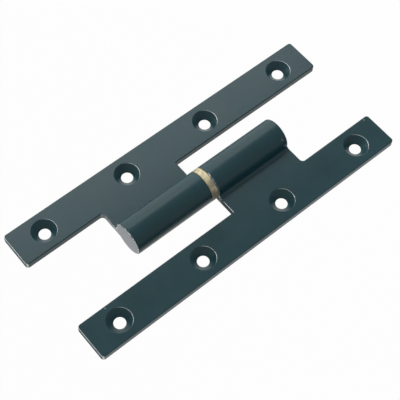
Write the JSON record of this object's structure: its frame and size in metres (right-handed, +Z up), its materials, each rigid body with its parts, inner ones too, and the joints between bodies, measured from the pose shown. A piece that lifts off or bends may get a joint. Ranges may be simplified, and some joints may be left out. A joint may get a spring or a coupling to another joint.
{
  "type": "lift-off hinge",
  "caption": "H-shaped lift-off hinge: painted leaves with countersunk screw holes, round knuckles on one pin, and a brass ring between the knuckles.",
  "frame": {"origin": "on the pin's axis, at the middle of the brass ring", "axes": "+Z up along the pin, the way the loose leaf lifts off; the screw faces look towards -Y and the backs towards +Y; the leaf with the fixed pin is at -X"},
  "size_m": [0.06, 0.0134, 0.14],
  "materials": {
    "black_paint": "satin",
    "pin_steel": "turned",
    "brass": "turned"
  },
  "bodies": {
    "fixed_leaf": {"pin_leaf": "black_paint", "hinge_pin": "pin_steel"},
    "ring": {"brass_ring": "brass"},
    "loose_leaf": {"socket_leaf": "black_paint"}
  },
  "joints": [
    {"name": "leaf_swing", "type": "hinge", "parent": "fixed_leaf", "child": "ring", "pos_m": [0, 0, 0], "axis": [0, 0, 1], "range_deg": [-180, 90]},
    {"name": "lift_off", "type": "slide", "parent": "ring", "child": "loose_leaf", "axis": [0, 0, 1], "range_m": [0, 0.15]}
  ]
}
